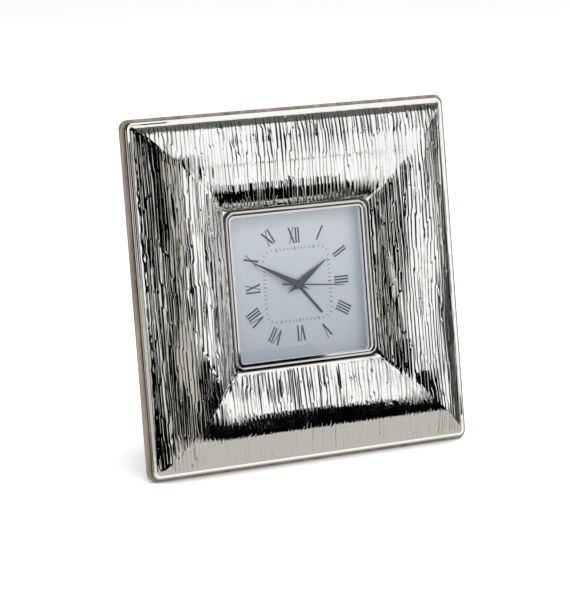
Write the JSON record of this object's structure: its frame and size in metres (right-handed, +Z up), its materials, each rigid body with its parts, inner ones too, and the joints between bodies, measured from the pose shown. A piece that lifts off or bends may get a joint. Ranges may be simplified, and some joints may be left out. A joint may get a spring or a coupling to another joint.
{
  "type": "photo frame clock",
  "caption": "Square table alarm clock: quartz insert behind flat glass in a wide rounded embossed silver frame, leaning back on a hinged wooden easel leg.",
  "frame": {"origin": "centre of the footprint on the table, under the leaning frame and its open leg", "axes": "+X to the right seen from the front, +Y towards the back, so the dial faces -Y, +Z up"},
  "size_m": [0.16, 0.0672, 0.1576],
  "materials": {
    "silver_sheet": "polished, embossed",
    "frame_filler": "raw",
    "stained_wood": "satin varnish",
    "bezel_metal": "polished",
    "glass": "clear",
    "gasket_rubber": "matte",
    "case_plastic": "satin",
    "dial_metal": "satin",
    "hand_metal": "satin",
    "housing_plastic": "matte",
    "plate_plastic": "satin",
    "wheel_plastic": "satin",
    "wheel_brass": "satin",
    "steel": "satin",
    "contact_metal": "satin",
    "cell_jacket": "gloss",
    "board_laminate": "satin",
    "can_metal": "polished",
    "chip_resin": "matte",
    "coil_copper": "gloss",
    "magnet": "satin",
    "knob_plastic": "gloss",
    "hinge_brass": "satin",
    "clip_steel": "satin"
  },
  "bodies": {
    "frame": {"back_board": "stained_wood", "frame_core": "frame_filler", "frame_shell": "silver_sheet", "bezel": "bezel_metal", "crystal": "glass", "crystal_gasket": "gasket_rubber", "insert_case": "case_plastic", "dial": "dial_metal", "movement_tray": "housing_plastic", "middle_plate": "plate_plastic", "rear_cover": "housing_plastic", "battery": "cell_jacket", "plus_contact": "contact_metal", "minus_contact": "contact_metal", "stator": "steel", "coil_core": "steel", "coil_bobbin": "wheel_plastic", "coil_winding": "coil_copper", "circuit_board": "board_laminate", "quartz_can": "can_metal", "chip_cap": "chip_resin", "buzzer": "chip_resin", "alarm_contact": "contact_metal", "module_screws": "steel", "retaining_clips": "clip_steel", "clip_screws": "steel", "hinge_frame_leaf": "hinge_brass", "hinge_pin": "steel", "hinge_screws": "steel"},
    "easel": {"easel_leg": "stained_wood", "hinge_leg_leaf": "hinge_brass", "leg_screws": "steel"},
    "minute_hand_body": {"minute_hand": "hand_metal", "cannon_pinion": "wheel_brass"},
    "hour_hand_body": {"hour_hand": "hand_metal", "hour_wheel": "wheel_brass"},
    "minute_wheel_body": {"minute_wheel": "wheel_plastic"},
    "time_set_body": {"time_set_arbor": "wheel_brass", "time_set_knob": "knob_plastic"},
    "second_hand_body": {"second_hand": "hand_metal", "second_wheel": "wheel_plastic"},
    "fifth_wheel_body": {"fifth_wheel": "wheel_plastic"},
    "rotor_body": {"rotor_pinion": "wheel_plastic", "rotor_magnet": "magnet"},
    "third_wheel_body": {"third_wheel": "wheel_plastic"},
    "centre_wheel_body": {"centre_wheel": "wheel_plastic"},
    "alarm_hand_body": {"alarm_hand": "hand_metal", "alarm_wheel": "wheel_brass"},
    "alarm_idler_body": {"alarm_idler": "wheel_plastic"},
    "alarm_set_body": {"alarm_set_arbor": "wheel_brass", "alarm_set_knob": "knob_plastic"},
    "alarm_switch_body": {"alarm_switch": "plate_plastic"},
    "battery_door_body": {"battery_door": "housing_plastic"}
  },
  "joints": [
    {"name": "easel_fold", "type": "hinge", "parent": "frame", "child": "easel", "pos_m": [0, 0.00505, 0.13504], "axis": [-1, 0, 0], "range_deg": [0, 20]},
    {"name": "minute_hand_turn", "type": "hinge", "parent": "frame", "child": "minute_hand_body", "pos_m": [0, -0.00994, 0.07878], "axis": [0, 0.9848, -0.1736], "continuous": true},
    {"name": "hour_hand_turn", "type": "hinge", "parent": "frame", "child": "hour_hand_body", "pos_m": [0, -0.00994, 0.07878], "axis": [0, 0.9848, -0.1736], "continuous": true},
    {"name": "minute_wheel_turn", "type": "hinge", "parent": "frame", "child": "minute_wheel_body", "pos_m": [0.00564, -0.0103, 0.07676], "axis": [0, 0.9848, -0.1736], "continuous": true},
    {"name": "time_set_turn", "type": "hinge", "parent": "frame", "child": "time_set_body", "pos_m": [0.01128, -0.01065, 0.07474], "axis": [0, 0.9848, -0.1736], "continuous": true},
    {"name": "second_hand_turn", "type": "hinge", "parent": "frame", "child": "second_hand_body", "pos_m": [0, -0.00994, 0.07878], "axis": [0, 0.9848, -0.1736], "continuous": true},
    {"name": "fifth_wheel_turn", "type": "hinge", "parent": "frame", "child": "fifth_wheel_body", "pos_m": [0.0035, -0.00889, 0.08475], "axis": [0, 0.9848, -0.1736], "continuous": true},
    {"name": "rotor_turn", "type": "hinge", "parent": "frame", "child": "rotor_body", "pos_m": [0.0065, -0.00799, 0.08987], "axis": [0, 0.9848, -0.1736], "continuous": true},
    {"name": "third_wheel_turn", "type": "hinge", "parent": "frame", "child": "third_wheel_body", "pos_m": [-0.00624, -0.00932, 0.08233], "axis": [0, 0.9848, -0.1736], "continuous": true},
    {"name": "centre_wheel_turn", "type": "hinge", "parent": "frame", "child": "centre_wheel_body", "pos_m": [0, -0.00994, 0.07878], "axis": [0, 0.9848, -0.1736], "continuous": true},
    {"name": "alarm_hand_turn", "type": "hinge", "parent": "frame", "child": "alarm_hand_body", "pos_m": [0, -0.00994, 0.07878], "axis": [0, 0.9848, -0.1736], "continuous": true},
    {"name": "alarm_idler_turn", "type": "hinge", "parent": "frame", "child": "alarm_idler_body", "pos_m": [-0.00686, -0.01037, 0.07633], "axis": [0, 0.9848, -0.1736], "continuous": true},
    {"name": "alarm_set_turn", "type": "hinge", "parent": "frame", "child": "alarm_set_body", "pos_m": [-0.01118, -0.01065, 0.07478], "axis": [0, 0.9848, -0.1736], "continuous": true},
    {"name": "alarm_switch_slide", "type": "slide", "parent": "frame", "child": "alarm_switch_body", "axis": [0, 0.1736, 0.9848], "range_m": [0, 0.004]},
    {"name": "battery_door_slide", "type": "slide", "parent": "frame", "child": "battery_door_body", "axis": [0, -0.1736, -0.9848], "range_m": [0, 0.006]}
  ],
  "couplings": [
    {"joint": "hour_hand_turn", "follows": "minute_hand_turn", "ratio": 0.083333},
    {"joint": "minute_wheel_turn", "follows": "minute_hand_turn", "ratio": -0.33333},
    {"joint": "time_set_turn", "follows": "minute_hand_turn", "ratio": 1},
    {"joint": "fifth_wheel_turn", "follows": "second_hand_turn", "ratio": -6},
    {"joint": "rotor_turn", "follows": "second_hand_turn", "ratio": 30},
    {"joint": "third_wheel_turn", "follows": "second_hand_turn", "ratio": -0.13333},
    {"joint": "centre_wheel_turn", "follows": "second_hand_turn", "ratio": 0.016667},
    {"joint": "alarm_idler_turn", "follows": "alarm_hand_turn", "ratio": -1.2},
    {"joint": "alarm_set_turn", "follows": "alarm_hand_turn", "ratio": 3}
  ]
}
